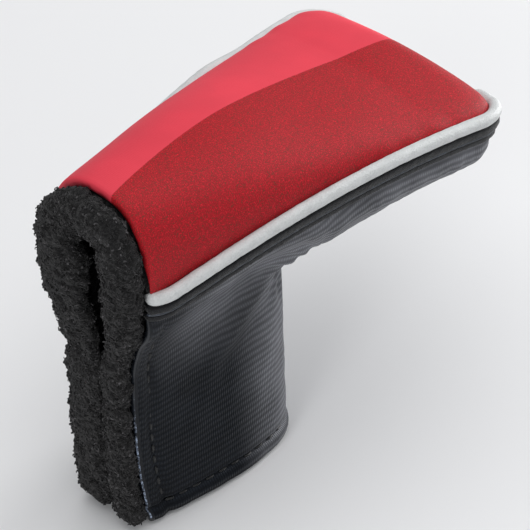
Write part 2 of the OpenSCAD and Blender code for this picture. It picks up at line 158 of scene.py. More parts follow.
def depth(x):
    e = toe_share(x, TOE_ROUND)
    level = lerp(POCKET_DEPTH, TOE_DEPTH, clamp01((x - NECK_LEN) / (CROWN_LEN - NECK_LEN)))
    return level * math.sqrt(max(0.0, 1 - e * e))


def neck_end(z):
    return NECK_LEN + NECK_LEAN * clamp01(1 + (z + NECK_TOP) / (HEM_DROP - NECK_TOP))


def neck_w(z):
    return lerp(NECK_HALF_W, HEM_HALF_W, clamp01((-z - NECK_TOP) / (HEM_DROP - NECK_TOP)))


def neck_half(x, z):
    round_at = neck_end(z) - NECK_ROUND
    e = clamp01((x - round_at) / NECK_ROUND)
    widest = lerp(FLAP_HALF_W, neck_w(z), math.sin(math.pi / 2 * clamp01(x / round_at)))
    return widest * power_arc(e, NECK_POWER)


def side_half(x, z):
    """Half width of the cover at a place in its side view."""
    drop = seam_z(x) - z
    t = clamp01(drop / max(depth(x), 1e-6))
    pocket = half_w(x) * power_arc(t, POCKET_POWER)
    end = neck_end(z)
    neck = 0.0 if x > end else neck_half(x, z)
    settled = lerp(half_w(x), neck, ease(drop / SETTLE_DROP))
    joined = (pocket**BLEND_POWER + (neck * ease(t / 0.7)) ** BLEND_POWER) ** (1 / BLEND_POWER)
    return lerp(settled, joined, ease((x - end + BLEND_LEN) / BLEND_LEN))


def toe_dip(x, a):
    return TOE_SAG * toe_share(x, TOE_CORNER_R) ** 4 * math.sqrt(max(0.0, math.sin(a)))


def crown_point(x, a):
    """A point of the crown at a distance from the heel and an angle over from the front seam."""
    p = 2 / lerp(HEEL_POWER, TOE_POWER, x / CROWN_LEN)
    c, s = math.cos(a), max(0.0, math.sin(a))
    y = -math.copysign(1, c) * half_w(x) * abs(c) ** p
    return (x, y, seam_z(x) + rise(x) * s**p - toe_dip(x, a))


def flap_edge_x(z):
    return FLAP_SWEEP * clamp01((-z - FLAP_SWEEP_AT) / (HEM_DROP - FLAP_SWEEP_AT)) ** 2


def tail_x(i):
    """How far along the pocket a station past the neck is."""
    if i <= TAIL_STATIONS:
        return lerp(TAIL_X0, CROWN_LEN - TOE_ROUND, i / TAIL_STATIONS)
    turn = math.pi / 2 * min(1.0, (i - TAIL_STATIONS) / TOE_STATIONS)
    return CROWN_LEN - TOE_ROUND + TOE_ROUND * math.sin(turn)


KEEL_CORNER = seam_z(NECK_LEN) - POCKET_DEPTH


def side_low(i):
    """Lower end of a side's station: on the hem, the neck's closed side or the pocket's keel."""
    if i <= HEM_STATIONS:
        s = math.sin(math.pi / 2 * i / HEM_STATIONS)
        return lerp(FLAP_SWEEP, neck_end(-HEM_DROP), s), -HEM_DROP
    if i <= NECK_STATIONS:
        z = lerp(-HEM_DROP, KEEL_CORNER - 1, (i - HEM_STATIONS) / (NECK_STATIONS - HEM_STATIONS))
        return neck_end(z), z
    if i < NECK_STATIONS + 1:
        a, b = side_low(NECK_STATIONS), side_low(NECK_STATIONS + 1)
        t = i - NECK_STATIONS
        return lerp(a[0], b[0], t), lerp(a[1], b[1], t)
    x = tail_x(i - NECK_STATIONS - 1)
    return x, seam_z(x) - depth(x)


def side_high(i):
    """Where a side's station starts on the seam."""
    if i <= NECK_STATIONS:
        return SEAM_OVER_CORNER * (i / NECK_STATIONS) ** 0.9
    if i < NECK_STATIONS + 1:
        return lerp(side_high(NECK_STATIONS), side_high(NECK_STATIONS + 1), i - NECK_STATIONS)
    x = tail_x(i - NECK_STATIONS - 1)
    t = clamp01((x - TAIL_X0) / 20)
    return lerp(x - 3 - (1 - t) * 4, x, t)


def side_point(i, v):
    """A point of the front side, by its station and its share of the way down."""
    a = math.pi / 2 * v
    if i >= ALL_STATIONS - 1e-6:
        s = 1 - max(0.0, math.cos(a)) ** (2 / POCKET_POWER)
        over = math.acos(min(1.0, (1 - s) ** (TOE_POWER / 2)))
        return (CROWN_LEN, -half_w(CROWN_LEN) * (1 - s), seam_z(CROWN_LEN) - toe_dip(CROWN_LEN, over))
    steep = lerp(1, 2 / POCKET_POWER, ease((i - HEM_STATIONS) / (NECK_STATIONS - HEM_STATIONS)))
    g = lerp(v, math.sin(a) ** steep, clamp01(i / HEM_STATIONS))
    high, low = side_high(i), side_low(i)
    x, z = lerp(high, low[0], g), lerp(seam_z(high), low[1], g)
    near_edge = max(0.0, 1 - i / HEM_STATIONS)
    x += near_edge * (flap_edge_x(z) - FLAP_SWEEP * g)
    keel = v > 1 - 1e-9 and i >= HEM_STATIONS
    return (x, 0.0 if keel else -side_half(x, z), z)


# ---- Nets of points: the first axis runs along a piece, the second across it ----
def net(cols, rows, place):
    return np.array([[place(i / cols, j / rows) for j in range(rows + 1)] for i in range(cols + 1)])


def unit(v):
    return v / np.maximum(np.linalg.norm(v, axis=-1, keepdims=True), 1e-9)


def each(f, points):
    """A value for every point of a net."""
    return np.array([[f(p) for p in row] for row in points])


def evened(a, passes, fixed=True):
    """A net's values evened out between neighbours. Its edge keeps its values where it is fixed."""
    for _ in range(passes):
        wide = np.pad(a, ((1, 1), (1, 1), (0, 0)), mode="edge")
        new = (a + wide[:-2, 1:-1] + wide[2:, 1:-1] + wide[1:-1, :-2] + wide[1:-1, 2:]) / 5
        if fixed:
            new[0], new[-1], new[:, 0], new[:, -1] = a[0], a[-1], a[:, 0], a[:, -1]
        a = new
    return a


def outward(points, towards):
    """Outward directions of a net, on the side of towards."""
    n = unit(np.cross(np.gradient(points, axis=0), np.gradient(points, axis=1)))
    if (n * towards).sum(-1).mean() < 0:
        n = -n
    return n


def lumps(p, size, finer=3):
    """Smooth random lumps about size across, with finer ones on them, from -1 to 1."""
    v, total, share = Vector(p) / size, 0.0, 1.0
    for k in range(finer):
        total += share * noise.noise(v * 2**k + Vector((k * 7.3, 1.7, 4.1)))
        share *= 0.5
    return total


def nodules(p, size):
    """Round nodules about size across with creases between them, from 0 to 1."""
    near = noise.voronoi(Vector(p) / size)[0][0]
    return 1 - min(1.0, near / 0.8) ** 2


# ---- Meshes ----
def placed(name, data):
    obj = bpy.data.objects.new(name, data)
    bpy.context.scene.collection.objects.link(obj)
    return obj


def smooth_object(name, mesh, materials):
    mesh.shade_smooth()
    for m in materials:
        mesh.materials.append(m)
    return placed(name, mesh)


def finished(name, bm, materials):
    """A named object from a mesh in metres, shaded smooth."""
    mesh = bpy.data.meshes.new(name)
    bm.to_mesh(mesh)
    bm.free()
    return smooth_object(name, mesh, materials)


def repeated(name, verts, faces, material):
    """A named object from many copies of one small shape, in millimetres."""
    mesh = bpy.data.meshes.new(name)
    mesh.from_pydata((verts * MM).tolist(), [], faces.tolist())
    return smooth_object(name, mesh, [material])


def small_shape(bm):
    """The points and triangles of a shape that is to be repeated."""
    points = np.array([v.co for v in bm.verts])
    faces = np.array([[v.index for v in f.verts] for f in bm.faces])
    bm.free()
    return points, faces


def net_place(v, cols, rows):
    """Which point of a net a point of a fresh grid stands for."""
    return round((v.co.x + 1) / 2 * cols), round((v.co.y + 1) / 2 * rows)


def of_kind(geom, kind):
    return [g for g in geom if isinstance(g, kind)]


EDGE_STEPS = 6
HIGHLIGHT_STEP = 2
WELD = 2e-6
SLIVER = 1e-7


def cloth_shell(name, points, out, wall, materials, edge, edge_r, uv=None, inner_relief=None):
    """A closed sheet of a wall's thickness under a net, its free edges turned round."""
    cols, rows = points.shape[0] - 1, points.shape[1] - 1
    flat = points.reshape(-1, 3)
    inner = flat - (out * wall[..., None]).reshape(-1, 3)
    if inner_relief is not None:
        inner = inner + inner_relief.reshape(-1, 3)
    turned = edge.reshape(-1, 3)
    bm = bmesh.new()
    bmesh.ops.create_grid(bm, x_segments=cols, y_segments=rows, size=1)
    key = bm.verts.layers.int.new("net")
    for v in bm.verts:
        i, j = net_place(v, cols, rows)
        v[key] = i * (rows + 1) + j

    def put(verts, t):
        bulge = edge_r * math.sin(math.pi * t) ** 0.7 if 0 < t < 1 else 0.0
        for v in verts:
            k = v[key]
            v.co = Vector(lerp(flat[k], inner[k], t) + turned[k] * bulge) * MM

    border = [e for e in bm.edges if e.is_boundary]
    copy = bmesh.ops.duplicate(bm, geom=bm.verts[:] + bm.edges[:] + bm.faces[:])["geom"]
    bmesh.ops.reverse_faces(bm, faces=of_kind(copy, bmesh.types.BMFace))
    put(bm.verts[:], 0)
    put(of_kind(copy, bmesh.types.BMVert), 1)
    for s in range(1, EDGE_STEPS + 1):
        made = bmesh.ops.extrude_edge_only(bm, edges=border)["geom"]
        put(of_kind(made, bmesh.types.BMVert), s / EDGE_STEPS)
        for f in of_kind(made, bmesh.types.BMFace):
            ways = [turned[v[key]] for v in f.verts]
            if len(materials) > 1 and all(np.any(w) for w in ways):
                # One step of a turned edge facing the heel takes the painted highlight; the rest of a
                # turned edge takes the turned cloth
                to_heel = all(w[0] < -0.9 for w in ways)
                f.material_index = 2 if s == HIGHLIGHT_STEP and to_heel else 1
        border = [e for e in of_kind(made, bmesh.types.BMEdge) if e.is_boundary]
    bmesh.ops.remove_doubles(bm, verts=bm.verts[:], dist=WELD)
    bmesh.ops.dissolve_degenerate(bm, edges=bm.edges[:], dist=SLIVER)
    if uv is not None:
        lay = bm.loops.layers.uv.new("cloth")
        place = uv.reshape(-1, 2)
        for f in bm.faces:
            for loop in f.loops:
                loop[lay].uv = place[loop.vert[key]]
    if bm.calc_volume(signed=True) < 0:
        bmesh.ops.reverse_faces(bm, faces=bm.faces[:])
    return finished(name, bm, materials)


def tube(name, rings, materials):
    """A closed solid round a net whose second axis closes on itself. Its ends are capped."""
    cols, rows = rings.shape[0] - 1, rings.shape[1] - 1
    bm = bmesh.new()
    bmesh.ops.create_grid(bm, x_segments=cols, y_segments=rows, size=1)
    lay = bm.loops.layers.uv.new("cloth")
    for v in bm.verts:
        place = net_place(v, cols, rows)
        for loop in v.link_loops:
            loop[lay].uv = place
        v.co = Vector(rings[place]) * MM
    bmesh.ops.remove_doubles(bm, verts=bm.verts[:], dist=WELD)
    bmesh.ops.holes_fill(bm, edges=[e for e in bm.edges if e.is_boundary], sides=0)
    bmesh.ops.recalc_face_normals(bm, faces=bm.faces[:])
    if bm.calc_volume(signed=True) < 0:
        bmesh.ops.reverse_faces(bm, faces=bm.faces[:])
    return finished(name, bm, materials)


def rings_round(centres, across, up, profile, relief=None):
    """Rings of a profile about a line of centres. The profile gives offsets along across and up."""
    rings = (
        centres[:, None, :]
        + across[:, None, :] * profile[..., 0][..., None]
        + up[:, None, :] * profile[..., 1][..., None]
    )
    if relief is not None:
        n = unit(rings - rings.mean(1, keepdims=True))
        rings = rings + n * each(relief, rings)[..., None]
    return rings


def oval(steps, sides, a, b, square, taper):
    """A rounded profile for every step along a tube, drawn in over taper steps at its two ends."""
    out = np.zeros((steps + 1, sides + 1, 2))
    for i in range(steps + 1):
        s = 1.0
        for off, over in zip((i, steps - i), taper):
            if off < over:
                s = math.sqrt(max(0.0, 1 - (1 - off / over) ** 2))
        for j in range(sides + 1):
            t = 2 * math.pi * (j % sides) / sides
            c, n = math.cos(t), math.sin(t)
            out[i, j] = (
                s * a * math.copysign(abs(c) ** (2 / square), c),
                s * b * math.copysign(abs(n) ** (2 / square), n),
            )
    return out


# ---- Materials ----
class Finish:
    """A material being made, with constant values on its shader's own sockets."""

    def __init__(self, name, colour, roughness, **sockets):
        self.material = bpy.data.materials.new(name)
        self.material.use_nodes = True
        self.material.diffuse_color = (*colour[:3], 1)
        self.tree = self.material.node_tree
        self.shader = self.tree.nodes["Principled BSDF"]
        self.shader.inputs["Base Color"].default_value = (*colour[:3], 1)
        self.shader.inputs["Roughness"].default_value = roughness
        for k, v in sockets.items():
            self.shader.inputs[k.replace("_", " ")].default_value = v

    def feed(self, node, key, value):
        """Links an input to a socket, or gives it a value."""
        if isinstance(value, bpy.types.NodeSocket):
            self.tree.links.new(value, node.inputs[key])
        elif value is not None:
            node.inputs[key].default_value = value

    def add(self, kind, *inputs, **settings):
        """A node with its first inputs given."""
        n = self.tree.nodes.new("ShaderNode" + kind)
        for k, v in settings.items():
            setattr(n, k, v)
        for k, v in enumerate(inputs):
            self.feed(n, k, v)
        return n

    def calc(self, operation, *inputs):
        return self.add("Math", *inputs, operation=operation).outputs[0]

    def times(self, value, factor, plus=None):
        """A value times a factor, with an offset where one is given."""
        if plus is None:
            return self.calc("MULTIPLY", value, factor)
        return self.calc("MULTIPLY_ADD", value, factor, plus)

    def wave(self, value, turn):
        return self.calc("SINE", self.times(value, turn))

    def fitted(self, value, low, high, to_low=0.0, to_high=1.0, kind="LINEAR"):
        """A value's range from low to high, fitted to another range."""
        return self.add("MapRange", value, low, high, to_low, to_high, interpolation_type=kind).outputs[0]

    def vector(self, operation, a, b):
        return self.add("VectorMath", a, b, operation=operation).outputs[0]

    def mm(self):
        """Object coordinates in millimetres."""
        return self.vector("MULTIPLY", self.add("TexCoord").outputs["Object"], (1000.0, 1000.0, 1000.0))

    def split(self, at):
        return self.add("SeparateXYZ", at).outputs

    def grain(self, at, scale, detail=3.0, rough=0.55):
        n = self.add("TexNoise", at)
        for k, v in (("Scale", scale), ("Detail", detail), ("Roughness", rough)):
            self.feed(n, k, v)
        return n.outputs[0]

    def cells(self, at, scale):
        n = self.add("TexVoronoi", at)
        self.feed(n, "Scale", scale)
        return n.outputs["Distance"]

    def ramp(self, value, stops):
        n = self.add("ValToRGB", value)
        elements = n.color_ramp.elements
        while len(elements) < len(stops):
            elements.new(0.5)
        for e, (at, colour) in zip(elements, stops):
            e.position = at
            e.color = (*colour[:3], 1)
        return n.outputs[0]

    def blend(self, share, a, b):
        """A mix of two colour sockets by a share."""
        n = self.add("Mix", data_type="RGBA")
        for k, v in ((0, share), (6, a), (7, b)):
            self.feed(n, k, v)
        return n.outputs[2]

    def paint(self, value, stops):
        """Colours the surface through a ramp."""
        self.feed(self.shader, "Base Color", self.ramp(value, stops))

    def bump(self, height, strength, distance):
        n = self.add("Bump")
        for k, v in (("Strength", strength), ("Distance", distance), ("Height", height)):
            self.feed(n, k, v)
        self.feed(self.shader, "Normal", n.outputs[0])


def srgb(*rgb):
    """A colour given as 0 to 255 values."""
    return tuple(c / 255 / 12.92 if c / 255 <= 0.04045 else ((c / 255 + 0.055) / 1.055) ** 2.4 for c in rgb)


def scaled(colour, s):
    return tuple(c * s for c in colour[:3])


def tones(colour, *stops):
    """A ramp's stops in lighter and darker tones of one colour."""
    return [(at, scaled(colour, s)) for at, s in stops]


# Where the crown's two prints meet: y = BORDER_START + x * (BORDER_SLOPE + x * BORDER_BEND)
BORDER_START, BORDER_SLOPE, BORDER_BEND = -5.0, 0.2337, -0.001283
CROWN_WEAVE = 9.5


def print_cloth(col):
    """The crown's printed coated cloth: a plain tone behind and a heathered tone in front."""
    f = Finish("crown_print", col.coral, 0.5, Specular_IOR_Level=0.22)
    at = f.mm()
    x, y, _ = f.split(at)
    border = f.times(x, f.times(x, BORDER_BEND, BORDER_SLOPE), BORDER_START)
    wander = f.times(f.grain(at, 1.6, 2.0), 0.35, -0.17)
    behind = f.fitted(f.calc("ADD", f.calc("SUBTRACT", y, border), wander), -0.12, 0.12)
    fleck = f.grain(at, 2.5, 4.0, 0.75)
    heather = f.ramp(fleck, [(0.36, col.fleck), *tones(col.heather, (0.43, 0.5), (0.56, 1), (0.68, 1.7))])
    broad = f.ramp(f.grain(at, 0.05, 2.0), tones(col.coral, (0.3, 0.94), (0.7, 1.04)))
    f.feed(f.shader, "Base Color", f.blend(behind, heather, broad))
    weave = f.calc("ADD", f.wave(x, CROWN_WEAVE), f.wave(y, CROWN_WEAVE))
    f.bump(f.times(weave, 0.12, f.grain(at, 2.2)), 0.22, 0.00025)
    f.feed(f.shader, "Roughness", f.fitted(fleck, 0.3, 0.7, 0.7, 0.55))
    return f.material


ROW_PITCH = 2.2
RIB_PITCH = 0.78


def ribbed_cloth(col):
    """The sides' embossed coated cloth: fine upright ribs in level rows, with a painted sheen in a paler
    tone over the pocket and towards the toe. Its UV map is in millimetres.
    """
    gloss = {"Specular_IOR_Level": 0.06, "Sheen_Weight": 0.03, "Sheen_Roughness": 0.3}
    f = Finish("side_skin", col.skin, 0.42, **gloss)
    across, down, _ = f.split(f.add("TexCoord").outputs["UV"])
    row = f.times(down, 2 * math.pi / ROW_PITCH)
    shift = f.times(f.wave(row, 0.5), 0.55)
    ribs = f.times(f.calc("SINE", f.times(across, 2 * math.pi / RIB_PITCH, shift)), 0.5, 0.5)
    bands = f.times(f.calc("SINE", row), 0.5, 0.5)
    at = f.mm()
    fine = f.grain(at, 3.0, 2.0)
    height = f.calc("ADD", f.times(ribs, f.times(bands, 0.5, 0.5)), f.times(bands, 0.4))
    f.bump(f.times(fine, 0.3, height), 0.8, 0.0002)
    raised = f.times(bands, f.times(ribs, 0.55, 0.35))
    tone = f.times(raised, 0.48, f.times(f.grain(at, 0.08, 2.0), 0.5))
    cloth = f.ramp(tone, tones(col.skin, (0.1, 0.45), (0.45, 1), (0.85, 2.4)))
    pale = f.ramp(tone, tones(col.painted_sheen_tint, (0.1, 0.4), (0.45, 1), (0.85, 1.9)))
    # Painted sheen: over the pocket and the neck's closed side the cloth is painted in a paler tone,
    # standing in for the light that falls there
    x, _, z = f.split(at)
    over_top = f.fitted(z, -52.0, -20.0, kind="SMOOTHSTEP")
    to_toe = f.fitted(x, 34.0, 58.0, kind="SMOOTHSTEP")
    off_edge = f.fitted(x, 4.0, 26.0, 0.1, 0.95, kind="SMOOTHSTEP")
    painted_sheen = f.calc("MAXIMUM", f.times(over_top, off_edge), to_toe)
    f.feed(f.shader, "Base Color", f.blend(painted_sheen, cloth, pale))
    f.feed(f.shader, "Roughness", f.times(bands, -0.14, f.times(fine, 0.16, 0.40)))
    return f.material


def turned_edge(col):
    """The same cloth where it is turned round an edge, smoother and glossy."""
    gloss = {"Specular_IOR_Level": 0.12, "Coat_Weight": 0.1, "Coat_Roughness": 0.15}
    f = Finish("turned_edge", scaled(col.skin, 1.1), 0.22, **gloss)
    at = f.mm()
    f.paint(f.grain(at, 0.5), tones(col.skin, (0.3, 0.6), (0.7, 1.2)))
    f.bump(f.grain(at, 2.0), 0.25, 0.0002)
    return f.material


def painted_edge_highlight(col):
    """A painted highlight along a turned edge: a pale glossy line, plainest low down."""
    gloss = {"Specular_IOR_Level": 0.2, "Coat_Weight": 0.25, "Coat_Roughness": 0.12}
    f = Finish("painted_edge_highlight", scaled(col.skin, 10.0), 0.2, **gloss)
    at = f.mm()
    highlight_breaks = f.grain(at, 0.7, 4.0, 0.7)
    high = f.fitted(f.split(at)[2], -62.0, -30.0, 0.0, 0.3)
    f.paint(f.calc("SUBTRACT", highlight_breaks, high), tones(col.skin, (0.40, 1.5), (0.50, 16.0), (0.60, 50.0)))
    f.bump(highlight_breaks, 0.3, 0.0002)
    return f.material


def fold_highlight(col):
    """The thin folded edge between the two felt strips, painted pale as its highlight."""
    f = Finish("welt_edge", scaled(col.skin, 4.0), 0.4)
    at = f.mm()
    f.paint(f.grain(at, 0.6), tones(col.skin, (0.35, 2.0), (0.7, 7.0)))
    f.bump(f.grain(at, 2.5, 2.0), 0.3, 0.0002)
    return f.material


SOFT_SHEEN = {"Specular_IOR_Level": 0.15, "Sheen_Weight": 0.12, "Sheen_Roughness": 0.5}


def fleece(col):
    """Short curly pile with painted shade: dark in the creases between the curls, lighter at their tips."""
    f = Finish("fleece", col.fleece, 0.95, **SOFT_SHEEN)
    at = f.mm()
    curl = f.cells(f.vector("ADD", at, f.add("TexNoise", at).outputs[1]), 0.9)
    # Painted shade: the creases between the curl cells are painted dark, and the same tone gives the bump
    tone = f.times(curl, -0.45, f.times(f.grain(at, 1.3, 4.0, 0.7), 0.9, 0.12))
    f.paint(tone, tones(col.fleece, (0.15, 0.2), (0.45, 0.7), (0.8, 2.0)))
    f.bump(tone, 0.9, 0.0012)
    return f.material


def pile(col):
    """The loose curls, each with its own tone."""
    f = Finish("pile", col.fleece, 0.9, **SOFT_SHEEN)
    own = f.times(f.add("Attribute", attribute_name="tone").outputs["Fac"], 1.0, -0.2)
    tone = f.times(f.grain(f.mm(), 1.2, 2.0), 0.4, own)
    f.paint(tone, tones(col.fleece, (0.0, 0.3), (0.6, 0.8), (1.0, 4.4)))
    return f.material


def piping_cloth(col):
    """White leather-grained cloth over the piping's cord."""
    f = Finish("piping", col.piping, 0.5)
    at = f.mm()
    pebble = f.cells(at, 1.9)
    f.bump(f.times(f.grain(at, 3.0), 0.6, pebble), 0.6, 0.00025)
    tone = f.times(f.grain(at, 0.25), 0.7, f.times(pebble, 0.25))
    f.paint(tone, tones(col.piping, (0.2, 0.8), (0.6, 1)))
    f.feed(f.shader, "Roughness", f.times(pebble, 0.15, 0.42))
    return f.material


def felt(col):
    """Pressed black felt."""
    f = Finish("felt", col.felt, 0.95, Specular_IOR_Level=0.2, Sheen_Weight=0.25)
    fibres = f.grain(f.vector("MULTIPLY", f.mm(), (0.6, 0.6, 2.4)), 1.6, 5.0, 0.75)
    f.paint(fibres, tones(col.felt, (0.3, 0.6), (0.7, 1.7)))
    f.bump(fibres, 0.6, 0.0004)
    return f.material


def thread(col):
    """Dark twisted sewing thread."""
    f = Finish("thread", col.thread, 0.35)
    turn = f.add("TexWave", f.mm(), wave_type="BANDS", bands_direction="DIAGONAL")
    f.feed(turn, "Scale", 1.4)
    f.feed(turn, "Distortion", 1.5)
    ply = turn.outputs["Fac"]
    f.paint(ply, tones(col.thread, (0.2, 0.6), (0.8, 1.6)))
    f.bump(ply, 0.6, 0.0001)
    return f.material


TAPE_WEAVE = 10.0


def woven(name, colour):
    """A plain woven tape or pouch."""
    f = Finish(name, colour, 0.85)
    at = f.mm()
    x, y, _ = f.split(at)
    f.paint(f.grain(at, 0.8), tones(colour, (0.3, 0.7), (0.7, 1.3)))
    f.bump(f.calc("ADD", f.wave(x, TAPE_WEAVE), f.wave(y, TAPE_WEAVE)), 0.5, 0.0002)
    return f.material


def steel(col):
    """Plated magnet."""
    f = Finish("magnet_plate", col.magnet, 0.28, Metallic=1.0)
    at = f.mm()
    f.feed(f.shader, "Roughness", f.times(f.grain(at, 0.6, 4.0), 0.2, 0.18))
    f.bump(f.grain(at, 4.0, 2.0), 0.1, 0.0001)
    return f.material


# ---- What a user would change ----
def length(name, description, default):
    return bpy.props.FloatProperty(
        name=name,
        description=description,
        default=default * MM,
        subtype="DISTANCE",
        unit="LENGTH",
        precision=4,
    )


def colour(name, description, rgb):
    return bpy.props.FloatVectorProperty(
        name=name, description=description, default=srgb(*rgb), subtype="COLOR", size=3, min=0, max=1
    )


class CoverSizes(bpy.types.PropertyGroup):
    """Sizes of the sewn details."""

    piping_d: length("Piping", "Diameter of the white piping", 4.0)
    puff: length("Crown padding", "How far the crown's padding stands up from its seams", 1.0)
    roll_relief: length("Fleece lumps", "Height of the lumps on the fleece rolls", 1.6)
    curl_len: length("Curl length", "Length of one curl of the fleece", 1.5)
    stitch_len: length("Stitch", "Length of one stitch", 3.3)
    stitch_gap: length("Stitch gap", "Gap between two stitches", 1.4)
    hem_in: length("Hem stitching", "Distance of the stitching from the turned edges", 4.8)
    crease: length("Creases", "Depth of the soft creases in the sides", 1.0)
    curls: bpy.props.IntProperty(
        name="Curls",
        description="Number of loose curls on each fleece roll",
        default=6800,
        min=100,
        max=7000,
    )


class CoverColours(bpy.types.PropertyGroup):
    """Colours of the cloths."""

    coral: colour("Back print", "Plain tone of the crown", (226, 64, 80))
    heather: colour("Front print", "Heathered tone of the crown", (184, 24, 36))
    fleck: colour("Fleck", "Dark fleck in the heathered tone", (92, 70, 48))
    piping: colour("Piping", "Piping cloth", (214, 216, 216))
    felt: colour("Felt", "Felt strip under the piping", (17, 18, 21))
    skin: colour("Sides", "Coated cloth of the sides", (24, 27, 32))
    # Painted sheen: a paler tone painted on the sides where light falls
    painted_sheen_tint: colour("Painted sheen", "Paler tone painted on the sides where light falls", (110, 111, 116))
    fleece: colour("Fleece", "Fleece lining and rolls", (44, 43, 44))
    thread: colour("Thread", "Sewing thread", (7, 8, 10))
    magnet: colour("Magnets", "Plating of the magnets", (190, 194, 198))
    foam: colour("Foam", "Foam behind the cloth", (216, 212, 200))
    floor: colour("Floor", "Studio floor", (236, 236, 237))


SHARED = {}


def shared(name, make):
    """One material for every piece that uses it."""
    if name not in SHARED:
        SHARED[name] = make(bpy.context.scene.cover_colours)
    return SHARED[name]


# ---- Crown ----
CROWN_COLS = 150
CROWN_ROWS = 96
# Share of the crown's columns that come before its rounded toe
BEFORE_TOE = 0.84


def crown_x(u):
    straight = CROWN_LEN - TOE_CORNER_R
    if u < BEFORE_TOE:
        return straight * u / BEFORE_TOE
    return straight + TOE_CORNER_R * math.sin(math.pi / 2 * (u - BEFORE_TOE) / (1 - BEFORE_TOE))


def seam_share(p):
    """Share of its thickness that the crown's wall keeps near its seams."""
    off = min(half_w(p[0]) - abs(p[1]) + p[2] - seam_z(p[0]), CROWN_LEN - p[0])
    return lerp(SEAM_SQUEEZE, 1, ease(off / SQUEEZE_REACH))


def crown_nets():
    points = net(CROWN_COLS, CROWN_ROWS, lambda u, v: crown_point(crown_x(u), math.pi * v))
    out = outward(points, np.array([0.2, 0, 1.0]))
    out[-1] = (1, 0, 0)
    out[:, 0, 2] = out[:, -1, 2] = 0
    out[0, :, 0] = 0
    out = unit(evened(unit(out), 10))
    return points, out, each(seam_share, points)


# The toe seam's height, and how the padding falls away to the seams
TOE_LEVEL = -TOE_DROP - TOE_SAG
PAD_FALL = 4.5
PUCKER_FALL = 5.0
PUCKER_DEPTH = 0.5
BROAD_DEPTH = 0.45
TOE_LIP = 0.9
TOE_LIP_AT = 8.0


def crown_relief(p, puff):
    """How far the crown stands off its plain shape: padded, drawn in at the seams, slightly puckered."""
    x, y = p[0], p[1]
    to_side = max(0.0, half_w(x) - abs(y)) + max(0.0, p[2] - seam_z(x))
    to_toe = CROWN_LEN - x + max(0.0, p[2] - TOE_LEVEL)
    off = min(to_side, to_toe)
    full = 1 - math.exp(-off / PAD_FALL)
    pucker = math.exp(-off / PUCKER_FALL) * (1 - math.exp(-off / 0.8))
    wave = folds(x, y, 6.5, 6.5, 3.0)
    broad = folds(x, y, 34, 22, 9.0)
    toe = hump(to_toe, TOE_LIP_AT, 4.5) * clamp01(to_side / 6)
    level = 1 - 0.9 * hump(CROWN_LEN - x, 0, 3.5)
    soft = PUCKER_DEPTH * pucker * wave + BROAD_DEPTH * broad * full
    return level * (puff * full + soft + TOE_LIP * toe)


# ---- Sides ----
SIDE_COLS = 190
SIDE_ROWS = 90
STATION = np.arange(SIDE_COLS + 1) * ALL_STATIONS / SIDE_COLS
# Where the side is evened out over the inner corner, and how far round it
SOFT_AT = (65, -27)
SOFT_REACH = 9


def side_nets():
    points = net(SIDE_COLS, SIDE_ROWS, lambda u, v: side_point(u * ALL_STATIONS, v))
    x, z = points[..., 0], points[..., 2]
    near = np.exp(-(((x - SOFT_AT[0]) / SOFT_REACH) ** 2) - (((z - SOFT_AT[1]) / SOFT_REACH) ** 2))
    for _ in range(30):
        soft = evened(points, 1)
        points[..., 1] = lerp(points[..., 1], soft[..., 1], near)
    points[STATION >= HEM_STATIONS, -1, 1] = 0.0
    out = outward(points, np.array([0, -1.0, 0]))
    out[-1] = (1, 0, 0)
    out[:, 0, 2] = 0
    hem = int(SIDE_COLS * HEM_STATIONS / ALL_STATIONS)
    out[: hem + 1, -1, 2] = 0
    out[hem:, -1, 1] = 0
    out[0, :, 0] = 0
    out = unit(evened(unit(out), 14))
    corner = (NECK_LEN - 2, KEEL_CORNER - 1.5)

    def wall_share(p):
        to_corner = math.hypot(p[0] - corner[0], p[2] - corner[1])
        at_seam = lerp(SEAM_SQUEEZE, 1, ease((seam_z(min(p[0], CROWN_LEN)) - p[2]) / SQUEEZE_REACH))
        return at_seam * lerp(CORNER_SQUEEZE, 1, ease(to_corner / CORNER_REACH))

    return points, out, each(wall_share, points), hem


# How far the stitching lies from a turned edge, and how wide its groove is
GROOVE_AT = 4.8
GROOVE_W = 0.9
# The long crease from the flap up to the inner corner: a place on it and its direction
CREASE_AT = (62, -22)
CREASE_WAY = (0.78, 0.62)
# The small folds that fan out from the inner corner
FAN_AT = (70, -29)
FAN_DEPTH = 0.36
FAN_FOLDS = 19
SMALL_DEPTH = 0.3


